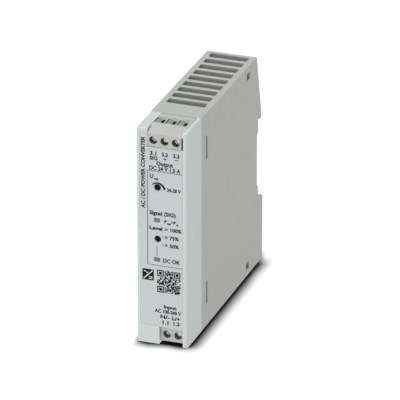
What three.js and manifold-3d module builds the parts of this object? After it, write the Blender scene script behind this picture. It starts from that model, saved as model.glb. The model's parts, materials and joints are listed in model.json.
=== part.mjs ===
// DIN rail power supply, 22.5 mm wide: front cover with screw terminals over a vented housing that
// clips onto a 35 mm top-hat rail, with its circuit board and components inside.
// Millimetres. +X is right, +Y runs from the front face back to the rail, +Z is up. The exported group
// shifts everything so that the origin lies under the middle of the box, on the bottom face.
import * as THREE from "three";
import { mergeVertices } from "three/addons/utils/BufferGeometryUtils.js";
import { ConvexGeometry } from "three/addons/geometries/ConvexGeometry.js";
import Module from "manifold-3d";

const wasm = await Module();
wasm.setup();

// ---------------------------------------------------------------- driving dimensions
const WIDTH = 22.5; // one module on the rail
const HEIGHT = 99;
const RAIL_PLANE = 90; // front face to the rail's flanges
const DEPTH = 96.2; // front face to the rear of the foot
const HALF = WIDTH / 2;
const WALL = 1.6;
const END_WALL = 2.6; // top and bottom of the housing, thicker for the ribs between the vents
const RIGHT_WALL = 2.05; // the cover's right wall is the thicker one
const COVER_DEPTH = 17.25;
const GAP = 0.3; // clearance between neighbouring pieces

const TOP_BACK = 87.8; // where the slanted back meets the top
const HOOK_BACK = 93.9;
const HOOK_TOP = 71; // where the slanted back starts
const RECESS_TOP = 68.3; // lower face of the hook
const RECESS_BOTTOM = 33.2; // shelf under the rail
const FOOT_TIP = 30.3; // the shelf slopes down to here at the rear
const RELIEF_PLANE = 88.5; // clearance face between the two flange seats
const RELIEF = [37.2, 62.35];
const HOOK_GROOVE = { depth: 1.6, top: 69.4 }; // takes the rail's upper flange

const VENTS = { count: 9, first: 30.6, pitch: 6.575, width: 4.3, half: 8.67 };
const SNAP = { y: [23.1, 24.7], z: [10.7, 20.9] }; // mirrored to the top
const WINDOW = { y: [74.8, 78.6], z: [3.0, 6.2] }; // mirrored to the top

const LABEL = { left: -9.9, right: 9.2, bottom: 8.5, top: 90.7, stripRight: -6.7, stripTop: 96.9 };
const LABEL_THICKNESS = 0.15;
const LABEL_POCKET = 0.2;
const LABEL_MARGIN = 0.15;

const BLOCK_HEIGHT = 13.5; // of a terminal block
const BLOCK_BACK = 17.0;
const SCREW_Z = 5.1; // screw axis above the bottom face, mirrored for the top block
// The lower block sits deeper in the cover and closer to the outer face than the upper one.
// Each screw was left with its slot at some angle from level, in degrees.
const OUTPUT = {
  side: "output",
  poles: [-3.85, 1.15, 6.15],
  slots: [48, 68, 50],
  span: [-6.4, 8.7],
  top: true,
  recess: 0,
  drop: 0,
};
const INPUT = {
  side: "input",
  poles: [1.45, 6.45],
  slots: [50, 28],
  span: [-1.4, 8.9],
  top: false,
  recess: 1.6,
  drop: 0.85,
};
const SCREW = { headRadius: 1.6, shankRadius: 1.2, front: 1.4, headBack: 2.5, end: 8.0 };
// Plan of a wire entry about its pole: the mouth narrows to the shaft, beside a slit for a test probe.
const ENTRY = {
  mouth: { x: [-1.75, 1.95], y: [7.3, 14.0] },
  shaft: { x: [-0.75, 1.6], y: [8.4, 13.3] },
  slit: { x: [-2.6, -1.85], y: [7.5, 12.9] },
};
const CAGE = { half: 2.1, innerHalf: 1.65, y: [6.4, 13.4], innerY: [7.8, 12.6], z: [3.4, 12.0] };
const BAR = { half: 1.5, y: [8.2, 9.0] };

const CONTROL_X = -2.0; // potentiometer and selector axes
const POTENTIOMETER_Z = 72.6;
const SELECTOR_Z = 48.9;
const CONTROL_HOLE = 1.55;
const LIGHT_X = -2.3;
const LIGHT_Z = { signal: 57.6, dc_ok: 39.4 };
const LIGHT_SIZE = [2.8, 1.9];

const BOARD = { x: [-8.1, -6.5], y: [6, 85], z: [4, 95] };
const SEAT = BOARD.x[1]; // the components stand on this face
const LATCH = { half: 6, y: [91.2, 94.0], z: [4, 35.3] };
const SPRING = { radius: 1.05, wire: 0.2, turns: 7, z: [14.05, 25.95], y: 92.6 };

// ---------------------------------------------------------------- finishes
const finish = (color, roughness, metalness = 0) =>
  new THREE.MeshStandardMaterial({ color, roughness, metalness });
const greyPlastic = () => finish("#b4b6b3", 0.6);
const palePlastic = () => finish("#d0d4d1", 0.55);
const steel = () => finish("#b9bbbd", 0.35, 1);
const tinnedCopper = () => finish("#c9b79a", 0.4, 1);
const blackEpoxy = () => finish("#232426", 0.55);

// ---------------------------------------------------------------- shape helpers
// A closed three.js geometry as a solid that can be joined and cut.
function solid(geometry) {
  const bare = geometry.index ? geometry.toNonIndexed() : geometry.clone();
  bare.deleteAttribute("normal");
  bare.deleteAttribute("uv");
  const merged = mergeVertices(bare, 1e-4);
  return new wasm.Manifold(
    new wasm.Mesh({
      numProp: 3,
      vertProperties: merged.attributes.position.array,
      triVerts: new Uint32Array(merged.index.array),
    }),
  );
}

// A solid as a three.js geometry again.
function geometryOf(body) {
  const mesh = body.getMesh();
  const indexed = new THREE.BufferGeometry();
  indexed.setAttribute("position", new THREE.BufferAttribute(mesh.vertProperties, 3));
  indexed.setIndex(new THREE.BufferAttribute(mesh.triVerts, 1));
  const flat = indexed.toNonIndexed();
  flat.computeVertexNormals();
  return flat;
}

const join = (first, ...rest) => rest.reduce((body, piece) => body.add(piece), first);
const cut = (first, ...rest) => rest.reduce((body, piece) => body.subtract(piece), first);

// A box from its three spans.
function block([x0, x1], [y0, y1], [z0, z1]) {
  const box = new THREE.BoxGeometry(x1 - x0, y1 - y0, z1 - z0);
  return solid(box.translate((x0 + x1) / 2, (y0 + y1) / 2, (z0 + z1) / 2));
}

const around = (centre, half) => [centre - half, centre + half];
const flip = ([low, high]) => [HEIGHT - high, HEIGHT - low]; // a height span, mirrored to the top
const shapeOf = (points) => new THREE.Shape(points.map(([a, b]) => new THREE.Vector2(a, b)));

// A side outline of (y, z) points, extruded across a span of x.
function sidePrism(points, [x0, x1]) {
  const geometry = new THREE.ExtrudeGeometry(shapeOf(points), { depth: x1 - x0, bevelEnabled: false });
  const toSide = new THREE.Matrix4().makeBasis(
    new THREE.Vector3(0, 1, 0),
    new THREE.Vector3(0, 0, 1),
    new THREE.Vector3(1, 0, 0),
  );
  return solid(geometry.applyMatrix4(toSide).translate(x0, 0, 0));
}

// A front outline, a shape in (x, z), extruded across a span of y.
function frontPlate(shape, [y0, y1]) {
  const geometry = new THREE.ExtrudeGeometry(shape, { depth: y1 - y0, bevelEnabled: false });
  return solid(geometry.rotateX(Math.PI / 2).translate(0, y1, 0));
}

// A revolved outline of (radius, along) points, its axis along Y, X or Z from the given place.
function revolve(points, axis, [x, y, z], segments = 24) {
  const outline = points.map(([radius, along]) => new THREE.Vector2(radius, along));
  const geometry = new THREE.LatheGeometry(outline, segments);
  if (axis === "x") geometry.rotateZ(-Math.PI / 2);
  if (axis === "z") geometry.rotateX(Math.PI / 2);
  return solid(geometry.translate(x, y, z));
}

const rod = (radius, length, axis, place, segments = 24) =>
  revolve([[0, 0], [radius, 0], [radius, length], [0, length]], axis, place, segments);

// ---------------------------------------------------------------- scene graph
const supply = new THREE.Group();
supply.position.y = -DEPTH / 2;

// Adds one named piece. A piece that turns is given about its own axis, then placed and turned by an angle.
function piece(name, body, material, place = [0, 0, 0], degrees = 0) {
  const mesh = new THREE.Mesh(geometryOf(body), material);
  mesh.name = name;
  mesh.position.set(...place);
  mesh.rotation.y = THREE.MathUtils.degToRad(degrees);
  supply.add(mesh);
}

// ---------------------------------------------------------------- housing
function housingOutline() {
  return [
    [COVER_DEPTH, 0],
    [DEPTH, 0],
    [DEPTH, FOOT_TIP],
    [RAIL_PLANE, RECESS_BOTTOM],
    [RAIL_PLANE, RELIEF[0]],
    [RELIEF_PLANE, RELIEF[0]],
    [RELIEF_PLANE, RELIEF[1]],
    [RAIL_PLANE, RELIEF[1]],
    [RAIL_PLANE, RECESS_TOP],
    [HOOK_BACK, RECESS_TOP],
    [HOOK_BACK, HOOK_TOP],
    [TOP_BACK, HEIGHT],
    [COVER_DEPTH, HEIGHT],
  ];
}

// The room inside, a wall's thickness within the outline.
function roomOutline() {
  const back = RELIEF_PLANE - WALL;
  const hookFloor = HOOK_GROOVE.top + WALL;
  const slant = (HOOK_BACK - TOP_BACK) / (HEIGHT - HOOK_TOP);
  const inset = WALL * Math.hypot(1, slant);
  const slantAt = (z) => HOOK_BACK - inset - slant * (z - HOOK_TOP);
  return [
    [COVER_DEPTH - 1, END_WALL],
    [RAIL_PLANE - 0.6, END_WALL],
    [RAIL_PLANE - 0.6, RECESS_BOTTOM - WALL],
    [back, RECESS_BOTTOM - WALL],
    [back, hookFloor],
    [slantAt(hookFloor), hookFloor],
    [slantAt(HEIGHT - END_WALL), HEIGHT - END_WALL],
    [COVER_DEPTH - 1, HEIGHT - END_WALL],
  ];
}

function ventCuts() {
  const cuts = [];
  for (let i = 0; i < VENTS.count; i += 1) {
    const span = around(VENTS.first + i * VENTS.pitch, VENTS.width / 2);
    cuts.push(block(around(0, VENTS.half), span, [-1, END_WALL + 1]));
    cuts.push(block(around(0, VENTS.half), span, [HEIGHT - END_WALL - 1, HEIGHT + 1]));
  }
  return cuts;
}

// Slots for the cover's snap tongues in both side walls, and small windows near the rear in the right one.
function sideWallCuts() {
  const through = around(0, HALF + 1);
  const rightOnly = [0, HALF + 1];
  return [
    block(through, SNAP.y, SNAP.z),
    block(through, SNAP.y, flip(SNAP.z)),
    block(rightOnly, WINDOW.y, WINDOW.z),
    block(rightOnly, WINDOW.y, flip(WINDOW.z)),
  ];
}

// The channel that the rail latch slides in, open below, above and through a window at the rear.
function latchChannel() {
  const slide = block(around(0, LATCH.half + 0.15), [LATCH.y[0] - 0.15, LATCH.y[1] + 0.15], [-1, 36]);
  const rearWindow = block(around(0, LATCH.half - 1.2), [LATCH.y[1], DEPTH + 1], [6, 36]);
  const spring = block(around(0, SPRING.radius + 0.55), [LATCH.y[0] - 0.15, LATCH.y[1]], [12, 14]);
  return { slide, rearWindow, spring };
}

// Short guides that hold the board's front corners.
function boardGuides() {
  const span = [COVER_DEPTH + 1.5, VENTS.first - VENTS.width / 2 - 1];
  const guides = [];
  for (const x of [[-9.7, BOARD.x[0] - GAP], [BOARD.x[1] + GAP, BOARD.x[1] + 1.3]]) {
    guides.push(block(x, span, [END_WALL - 0.1, BOARD.z[0] + 1.6]));
    guides.push(block(x, span, flip([END_WALL - 0.1, BOARD.z[0] + 1.6])));
  }
  return guides;
}

function mainHousing() {
  const channel = latchChannel();
  const grooveSpan = [RAIL_PLANE, RAIL_PLANE + HOOK_GROOVE.depth];
  const shell = cut(
    sidePrism(housingOutline(), around(0, HALF)),
    sidePrism(roomOutline(), around(0, HALF - WALL)),
    block(around(0, HALF + 1), grooveSpan, [RECESS_TOP - 1, HOOK_GROOVE.top]),
    channel.slide,
    channel.rearWindow,
    ...ventCuts(),
    ...sideWallCuts(),
  );
  return join(shell, channel.spring, ...boardGuides());
}

// ---------------------------------------------------------------- front cover and label
function labelShape(margin) {
  return shapeOf([
    [LABEL.left - margin, LABEL.bottom - margin],
    [LABEL.right + margin, LABEL.bottom - margin],
    [LABEL.right + margin, LABEL.top + margin],
    [LABEL.stripRight + margin, LABEL.top + margin],
    [LABEL.stripRight + margin, LABEL.stripTop + margin],
    [LABEL.left - margin, LABEL.stripTop + margin],
  ]);
}

// Openings that the label and the cover share: two screwdriver holes and two light windows.
function frontOpenings([y0, y1], margin) {
  const holes = [POTENTIOMETER_Z, SELECTOR_Z].map((z) =>
    rod(CONTROL_HOLE + margin, y1 - y0, "y", [CONTROL_X, y0, z]),
  );
  const windows = Object.values(LIGHT_Z).map((z) =>
    block(
      around(LIGHT_X, LIGHT_SIZE[0] / 2 + margin),
      [y0, y1],
      around(z, LIGHT_SIZE[1] / 2 + margin),
    ),
  );
  return [...holes, ...windows];
}

// The cover seen from above: a rounded edge at the right, a tighter one at the left.
function coverSection() {
  const right = 0.9;
  const left = 0.5;
  const section = new THREE.Shape();
  section.moveTo(-HALF, COVER_DEPTH);
  section.lineTo(-HALF, left);
  section.absarc(-HALF + left, left, left, Math.PI, 1.5 * Math.PI);
  section.lineTo(HALF - right, 0);
  section.absarc(HALF - right, right, right, 1.5 * Math.PI, 2 * Math.PI);
  section.lineTo(HALF, COVER_DEPTH);
  return new THREE.ExtrudeGeometry(section, { depth: HEIGHT, bevelEnabled: false, curveSegments: 6 });
}

// A tongue behind the cover's edge, with a barb that catches in the housing's slot. Its root lies
// between the terminal blocks, so only the part behind them has the slot's whole height.
function snapTongue(side, zSpan) {
  const acrossSide = ([x0, x1]) => (side > 0 ? [x0, x1] : [-x1, -x0]);
  const span = [zSpan[0] + GAP, zSpan[1] - GAP];
  const rootSpan = [Math.max(span[0], BLOCK_HEIGHT + GAP), Math.min(span[1], HEIGHT - BLOCK_HEIGHT - GAP)];
  return join(
    block(acrossSide([8.3, 9.3]), [COVER_DEPTH - 0.1, SNAP.y[1] + 0.8], span),
    block(acrossSide([9.2, HALF - 1]), [SNAP.y[0] + 0.2, SNAP.y[1] - 0.2], span),
    block(acrossSide([8.3, 9.8]), [10, COVER_DEPTH], rootSpan),
    block(acrossSide([8.3, 9.3]), [10, COVER_DEPTH + 0.3], rootSpan),
  );
}

function frontCover() {
  const inner = block([-HALF + WALL, HALF - RIGHT_WALL], [WALL, COVER_DEPTH + 1], [WALL, HEIGHT - WALL]);
  const topNotch = block([-6.5, HALF - RIGHT_WALL], [-1, COVER_DEPTH + 1], [90.9, HEIGHT + 1]);
  const bottomNotch = block([-1.5, HALF - RIGHT_WALL], [-1, COVER_DEPTH + 1], [-1, HEIGHT - 90.9]);
  const shell = cut(
    solid(coverSection()),
    inner,
    topNotch,
    bottomNotch,
    frontPlate(labelShape(LABEL_MARGIN), [-1, LABEL_POCKET]),
    ...frontOpenings([-1, WALL + 1], 0.1),
  );
  const tongues = [1, -1].flatMap((side) => [SNAP.z, flip(SNAP.z)].map((z) => snapTongue(side, z)));
  return join(shell, ...tongues);
}

function frontLabel() {
  const sheet = [LABEL_POCKET - LABEL_THICKNESS, LABEL_POCKET];
  return cut(frontPlate(labelShape(0), sheet), ...frontOpenings([-1, 1], 0));
}

// ---------------------------------------------------------------- terminals
// Depths and heights of a terminal's features are given for a lower block that is neither recessed nor
// dropped. These turn them into the block's own: heights mirror for the top.
function placing({ top, recess, drop }) {
  const height = (z) => (top ? HEIGHT - z + drop : z - drop);
  const heights = ([low, high]) => [height(low), height(high)].sort((a, b) => a - b);
  const depths = ([near, far]) => [near + recess, far + recess];
  return { height, heights, depths };
}

// Front face, sloping outer face and rear of a block. The upper one has a step behind the cover's wall.
function terminalOutline({ top, recess }, { height }) {
  const outerFace = top ? HEIGHT - 0.05 : 0.05;
  const innerFace = top ? HEIGHT - BLOCK_HEIGHT : BLOCK_HEIGHT;
  const step = recess ? [] : [[1.9, innerFace], [1.9, height(7.9)]];
  return [
    ...step,
    [0.05 + recess, recess ? innerFace : height(7.9)],
    [0.05 + recess, height(2.0)],
    [6.4, outerFace],
    [BLOCK_BACK, outerFace],
    [BLOCK_BACK, innerFace],
  ];
}

// A wire entry: a funnel at the outer face, then a straight shaft into the cage's room.
function wireEntry(pole, { top }, { depths, heights }) {
  const corners = [];
  const inward = (z) => (top ? HEIGHT - z : z);
  const beside = ([x0, x1]) => [pole + x0, pole + x1];
  const ring = ({ x, y }, z) =>
    beside(x).forEach((cornerX) =>
      depths(y).forEach((cornerY) => corners.push(new THREE.Vector3(cornerX, cornerY, inward(z)))),
    );
  ring(ENTRY.mouth, -0.05);
  ring(ENTRY.shaft, 1.5);
  const { shaft, slit } = ENTRY;
  const shaftSpan = [inward(1.4), heights([3.2, 3.2])[0]].sort((a, b) => a - b);
  const slitSpan = top ? flip([-1, 2.2]) : [-1, 2.2];
  return join(
    solid(new ConvexGeometry(corners)),
    block(beside(shaft.x), depths(shaft.y), shaftSpan),
    block(beside(slit.x), depths(slit.y), slitSpan),
  );
}

function terminalBlock(terminal) {
  const placed = placing(terminal);
  const { height, heights, depths } = placed;
  const outline = terminalOutline(terminal, placed);
  let body = sidePrism(terminal.top ? outline : outline.reverse(), terminal.span);
  for (const x of terminal.poles) {
    body = cut(
      body,
      block(
        around(x, CAGE.half + 0.2),
        depths([SCREW.headBack + 0.25, CAGE.y[1] + 0.5]),
        heights([3.0, BLOCK_HEIGHT + 2]),
      ),
      rod(1.9, 4.3, "y", [x, terminal.recess - 1.4, height(SCREW_Z)]),
      wireEntry(x, terminal, placed),
    );
  }
  return body;
}

// A slotted clamping screw about its own axis, its head to the front.
function terminalScrew() {
  const { headRadius, shankRadius, front, headBack, end } = SCREW;
  const turned = revolve(
    [[0, front], [headRadius - 0.2, front], [headRadius, front + 0.2], [headRadius, headBack],
      [shankRadius, headBack], [shankRadius, end - 0.4], [shankRadius - 0.4, end], [0, end]],
    "y",
    [0, 0, 0],
  );
  return cut(turned, block(around(0, 2.5), [front - 1, front + 0.7], around(0, 0.3)));
}

// A cage that the screw draws forward, closing on the wire from behind.
function clampCage(x, { height, heights, depths }) {
  const [zLow, zHigh] = heights(CAGE.z);
  return cut(
    block(around(x, CAGE.half), depths(CAGE.y), [zLow, zHigh]),
    block(around(x, CAGE.innerHalf), depths(CAGE.innerY), [zLow - 1, zHigh + 1]),
    rod(SCREW.shankRadius + 0.2, 3, "y", [x, depths(CAGE.y)[0] - 1, height(SCREW_Z)]),
  );
}

// A flat bar inside the cage that leads to the board. Farther poles pass below nearer ones.
function contactBar(x, step, { heights, depths }) {
  const strap = 15.2 + 2.2 * step;
  return join(
    block(around(x, BAR.half), depths(BAR.y), heights([3.6, strap + 1.6])),
    block([SEAT + 0.02, x + BAR.half], depths(BAR.y), heights([strap, strap + 1.6])),
  );
}

function addTerminals(terminal) {
  const { side, poles, slots, recess } = terminal;
  const placed = placing(terminal);
  piece(side + "_terminal_block", terminalBlock(terminal), finish("#c2c2c0", 0.55));
  poles.forEach((x, i) => {
    const number = i + 1;
    const head = [x, recess, placed.height(SCREW_Z)];
    piece(side + "_clamp_screw_" + number, terminalScrew(), steel(), head, slots[i]);
    piece(side + "_clamp_cage_" + number, clampCage(x, placed), steel());
    piece(side + "_contact_bar_" + number, contactBar(x, i, placed), tinnedCopper());
  });
}

// ---------------------------------------------------------------- controls and lights on the front
// A square body on the board with a round well at the front for its rotor.
function controlBody(z, half) {
  return cut(
    block([SEAT, CONTROL_X + half], [3.4, 9.4], around(z, half)),
    rod(1.6, 2, "y", [CONTROL_X, 2.9, z]),
  );
}

function potentiometerRotor() {
  return cut(rod(1.35, 2.9, "y", [0, 1.8, 0]), block(around(0, 2), [1, 2.5], around(0, 0.28)));
}

// The selector's rotor carries an arrow-shaped slot.
function selectorRotor() {
  const arrow = new THREE.Shape();
  arrow.moveTo(-0.95, -0.25);
  arrow.lineTo(0.2, -0.25);
  arrow.lineTo(0.2, -0.7);
  arrow.lineTo(1.05, 0);
  arrow.lineTo(0.2, 0.7);
  arrow.lineTo(0.2, 0.25);
  arrow.lineTo(-0.95, 0.25);
  return cut(rod(1.35, 2.9, "y", [0, 1.8, 0]), frontPlate(arrow, [1, 2.5]));
}

function lightPipe(z) {
  return join(
    block(around(LIGHT_X, LIGHT_SIZE[0] / 2 - 0.05), [0.05, 9.2], around(z, LIGHT_SIZE[1] / 2 - 0.05)),
    block(around(LIGHT_X, 2), [WALL + 0.1, WALL + 0.9], around(z, 1.5)),
  );
}

// A round lamp facing forward, on two leads that bend to the board.
function lamp(z) {
  const dome = revolve(
    [[0, 9.6], [0.8, 9.8], [1.3, 10.4], [1.45, 11.2], [1.45, 13.6], [1.75, 13.6], [1.75, 14.4], [0, 14.4]],
    "y",
    [LIGHT_X, 0, z],
    16,
  );
  const leads = [-0.9, 0.9].map((dz) =>
    join(
      block(around(LIGHT_X, 0.25), [14.2, 16], around(z + dz, 0.25)),
      block([SEAT, LIGHT_X + 0.25], [15.5, 16], around(z + dz, 0.25)),
    ),
  );
  return join(dome, ...leads);
}

function addControls() {
  const darkPlastic = finish("#3b3d40", 0.5);
  piece("potentiometer_body", controlBody(POTENTIOMETER_Z, 3.2), finish("#2b4a86", 0.5));
  piece("potentiometer_rotor", potentiometerRotor(), darkPlastic, [CONTROL_X, 0, POTENTIOMETER_Z]);
  piece("selector_switch_body", controlBody(SELECTOR_Z, 3.4), blackEpoxy());
  piece("selector_switch_rotor", selectorRotor(), darkPlastic, [CONTROL_X, 0, SELECTOR_Z]);
  for (const [name, z] of Object.entries(LIGHT_Z)) {
    piece(name + "_light_pipe", lightPipe(z), finish("#d9dedd", 0.2));
    piece(name + "_led", lamp(z), finish("#8fc79a", 0.25));
  }
}

// ---------------------------------------------------------------- rail latch
function railLatch() {
  const [yFront, yBack] = LATCH.y;
  const [zLow, zHigh] = LATCH.z;
  const lip = [
    [yFront, zHigh - 3.4],
    [yBack, zHigh - 3.4],
    [yBack, zHigh - 1.6],
    [yFront + 0.9, zHigh],
    [yFront, zHigh],
  ];
  return cut(
    join(block(around(0, LATCH.half), LATCH.y, [zLow, zHigh - 3]), sidePrism(lip, around(0, LATCH.half))),
    block(around(0, SPRING.radius + 0.85), [yFront - 1, yBack + 1], [10.6, 26]),
    block(around(0, 2.6), [yFront - 1, yBack + 1], [5.4, 7.4]), // takes a screwdriver's tip
  );
}

class Helix extends THREE.Curve {
  getPoint(t) {
    const angle = t * SPRING.turns * 2 * Math.PI;
    const height = SPRING.z[0] + SPRING.wire + t * (SPRING.z[1] - SPRING.z[0] - 2 * SPRING.wire);
    const radius = SPRING.radius;
    return new THREE.Vector3(radius * Math.cos(angle), SPRING.y + radius * Math.sin(angle), height);
  }
}

function latchSpring() {
  const wire = new THREE.Shape();
  wire.absarc(0, 0, SPRING.wire, 0, 2 * Math.PI);
  return solid(
    new THREE.ExtrudeGeometry(wire, {
      extrudePath: new Helix(),
      steps: SPRING.turns * 12,
      curveSegments: 3,
      bevelEnabled: false,
    }),
  );
}

// ---------------------------------------------------------------- circuit board and its components
function circuitBoard() {
  return cut(
    block(BOARD.x, BOARD.y, BOARD.z),
    block([-9, -6], [22, 48], [57.6, 59.0]), // the isolation slot under the optocoupler
    block([-9, -6], [80, 86], [90, 96]),
    block([-9, -6], [80, 86], [3, 9]),
  );
}

// An upright can with a rolled groove near its foot.
function electrolytic(radius, length, axis, place) {
  const groove = radius - 0.45;
  return revolve(
    [[0, 0], [radius - 0.3, 0], [radius, 0.4], [radius, 1.8], [groove, 2.2], [groove, 2.6], [radius, 3.0],
      [radius, length - 0.5], [radius - 0.5, length], [0, length]],
    axis,
    place,
    32,
  );
}

// A coated disc standing on two leads.
function leadedDisc(radius, thickness, y, z) {
  const x = SEAT + 0.8 + radius;
  const disc = revolve(
    [[0, -thickness / 2], [radius - 0.8, -thickness / 2], [radius, -thickness / 2 + 0.8],
      [radius, thickness / 2 - 0.8], [radius - 0.8, thickness / 2], [0, thickness / 2]],
    "y",
    [x, y, z],
    28,
  );
  const leads = [-2.5, 2.5].map((dz) => block([SEAT, SEAT + 3], around(y, 0.4), around(z + dz, 0.4)));
  return join(disc, ...leads);
}

// A ring core standing on the board, wound on its two halves.
function commonModeChoke(y, z) {
  const x = SEAT + 7.6;
  const core = revolve([[3.2, -3], [6.2, -3], [6.2, 3], [3.2, 3], [3.2, -3]], "y", [0, 0, 0], 32);
  const turns = [];
  for (let i = -5; i <= 5; i += 1) {
    for (const base of [0, Math.PI]) {
      const turn = new THREE.BoxGeometry(4.3, 7.2, 0.9).translate(4.75, 0, 0);
      turns.push(solid(turn.rotateY(base + i * 0.225)));
    }
  }
  const ring = join(core, ...turns).translate([x, y, z]);
  return join(ring, block([SEAT, SEAT + 1.4], around(y, 3.2), around(z, 6)));
}

// A transistor or diode package: moulded body with a drilled metal tab behind it.
function powerPackage(z) {
  const body = block([SEAT + 3.5, SEAT + 12.5], [79.0, 83.5], around(z, 5));
  const tab = block([SEAT + 12.4, SEAT + 15.5], [82.2, 83.5], around(z, 5));
  const legs = [-2.5, 0, 2.5].map((dz) => block([SEAT, SEAT + 3.6], [81.0, 81.7], around(z + dz, 0.5)));
  return cut(join(body, tab, ...legs), rod(1.6, 4, "y", [SEAT + 13.9, 81, z]));
}

// A bent sheet that carries a power package.
function heatsink([zLow, zHigh]) {
  return join(
    block([SEAT + 0.1, 8.6], [83.6, 85.0], [zLow, zHigh]),
    block([SEAT + 0.1, 8.6], [76.5, 85.0], [zHigh - 1.4, zHigh]),
  );
}

const CORE = { x: [-1.6, 4.6], y: [49, 69], z: [48, 68] };

function transformerCore() {
  const window = [CORE.z[0] + 3, CORE.z[1] - 3];
  return cut(
    block(CORE.x, CORE.y, CORE.z),
    block([-9, 9], [CORE.y[0] + 2.5, 56], window),
    block([-9, 9], [62, CORE.y[1] - 2.5], window),
  );
}

function transformerWinding() {
  const height = [CORE.z[0] + 3 + GAP, CORE.z[1] - 3 - GAP];
  const coil = block([-4.8, 7.8], [CORE.y[0] + 2.8, CORE.y[1] - 2.8], height);
  const centreLeg = block([CORE.x[0] - GAP, CORE.x[1] + GAP], [56 - GAP, 62 + GAP], [40, 80]);
  const base = block([SEAT, CORE.x[0] - 2.9], [50, 68], [47, 69]);
  return join(cut(coil, centreLeg), base);
}

function outputChoke(y, z) {
  return revolve(
    [[0, 0], [5.5, 0], [5.5, 1.5], [4.9, 1.5], [4.9, 11], [5.5, 11], [5.5, 12.5], [0, 12.5]],
    "x",
    [SEAT, y, z],
    28,
  );
}

function addBoard() {
  piece("circuit_board", circuitBoard(), finish("#2f6b4a", 0.5));
  piece("insulating_sheet", block([-9.3, -9.0], [27, 84], [6, 92]), finish("#d8d4b8", 0.5));
  piece("input_fuse", rod(4.2, 8, "x", [SEAT, 24.5, 11]), finish("#5a3a2c", 0.5));
  piece("inrush_thermistor", leadedDisc(5, 4, 33, 11), finish("#2d4a3c", 0.5));
  piece("varistor", leadedDisc(5, 4.5, 41, 11), finish("#2f4f8f", 0.4));
  piece("suppression_capacitor", block([SEAT, 5.5], [47.5, 60.5], [7, 14]), finish("#c9a13b", 0.45));
  piece("common_mode_choke", commonModeChoke(73, 13), finish("#a5622c", 0.4, 0.6));
  piece("bridge_rectifier", block([SEAT, -3.5], [19, 29], [22, 31]), blackEpoxy());
  piece("bulk_capacitor", electrolytic(7.2, 26, "z", [SEAT + 7.4, 39, 19.8]), finish("#1f2c50", 0.35));
  piece("switching_transistor", powerPackage(33), blackEpoxy());
  piece("primary_heatsink", heatsink([22, 44]), finish("#b5b8ba", 0.4, 1));
  piece("transformer_core", transformerCore(), finish("#3a3a3c", 0.6));
  piece("transformer_winding", transformerWinding(), finish("#d9b84a", 0.5));
  piece("control_ic", block([SEAT, -4.9], [20, 30], [44, 50]), blackEpoxy());
  piece("optocoupler", block([SEAT, -3.0], [28, 34.5], [56, 60.6]), finish("#f0f0ec", 0.5));
  piece("safety_capacitor", leadedDisc(4, 4, 42, 53), finish("#3c6fb0", 0.4));
  piece("output_rectifier", powerPackage(66), blackEpoxy());
  piece("secondary_heatsink", heatsink([55, 79]), finish("#b5b8ba", 0.4, 1));
  piece("output_capacitor_1", electrolytic(5, 14.2, "x", [SEAT, 27, 84]), finish("#26282c", 0.35));
  piece("output_capacitor_2", electrolytic(5, 14.2, "x", [SEAT, 39, 84]), finish("#26282c", 0.35));
  piece("output_choke", outputChoke(52, 84), finish("#8d4a26", 0.45, 0.5));
}

// ---------------------------------------------------------------- assembly
piece("main_housing", mainHousing(), greyPlastic());
piece("front_cover", frontCover(), palePlastic());
piece("front_label", frontLabel(), finish("#ccd0cf", 0.5));
addTerminals(OUTPUT);
addTerminals(INPUT);
addControls();
piece("rail_latch", railLatch(), finish("#8e9190", 0.5));
piece("latch_spring", latchSpring(), steel());
addBoard();

export default supply;
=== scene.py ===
import json
import math
import random

import bmesh
import bpy
from mathutils import Matrix, Vector


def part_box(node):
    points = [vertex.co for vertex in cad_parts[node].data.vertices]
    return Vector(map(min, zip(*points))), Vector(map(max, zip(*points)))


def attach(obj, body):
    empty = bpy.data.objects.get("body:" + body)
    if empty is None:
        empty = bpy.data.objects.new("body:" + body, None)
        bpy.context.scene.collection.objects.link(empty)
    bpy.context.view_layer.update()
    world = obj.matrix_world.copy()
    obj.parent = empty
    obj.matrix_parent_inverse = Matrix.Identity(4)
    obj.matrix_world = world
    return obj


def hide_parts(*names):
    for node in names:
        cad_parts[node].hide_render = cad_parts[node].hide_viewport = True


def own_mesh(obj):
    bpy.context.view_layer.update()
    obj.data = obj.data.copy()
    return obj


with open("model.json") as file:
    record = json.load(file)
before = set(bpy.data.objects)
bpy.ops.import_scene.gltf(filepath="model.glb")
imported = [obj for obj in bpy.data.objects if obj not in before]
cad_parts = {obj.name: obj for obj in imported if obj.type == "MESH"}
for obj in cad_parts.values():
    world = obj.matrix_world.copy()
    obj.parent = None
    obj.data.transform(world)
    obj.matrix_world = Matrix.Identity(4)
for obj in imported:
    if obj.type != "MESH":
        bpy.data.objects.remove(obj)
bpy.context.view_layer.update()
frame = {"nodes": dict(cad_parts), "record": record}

MM = 0.001
cover_low, cover_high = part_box("front_cover")
housing_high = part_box("main_housing")[1]
FRONT = cover_low.y
HALF = cover_high.x / MM
HEIGHT = cover_high.z / MM
DEPTH = (housing_high.y - FRONT) / MM
COVER_DEPTH = 17.25
WALL = 1.6
END_WALL = 2.6  # top and bottom of the housing
RIGHT_WALL = 2.05  # of the cover
VENT_COUNT, VENT_FIRST, VENT_PITCH = 9, 30.6, 6.575
VENT_WIDTH, VENT_HALF = 4.3, 8.67
ROOT = "housing"

SCENE = bpy.context.scene
RNG = random.Random(24)


# ------------------------------------------------------------------ drawing outlines
def span(centre, half):
    return (centre - half, centre + half)


def mirrored(low_high):
    """A span of heights near the bottom, mirrored to the top."""
    return (HEIGHT - low_high[1], HEIGHT - low_high[0])


def rectangle(a, b):
    return [(a[0], b[0]), (a[1], b[0]), (a[1], b[1]), (a[0], b[1])]


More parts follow.
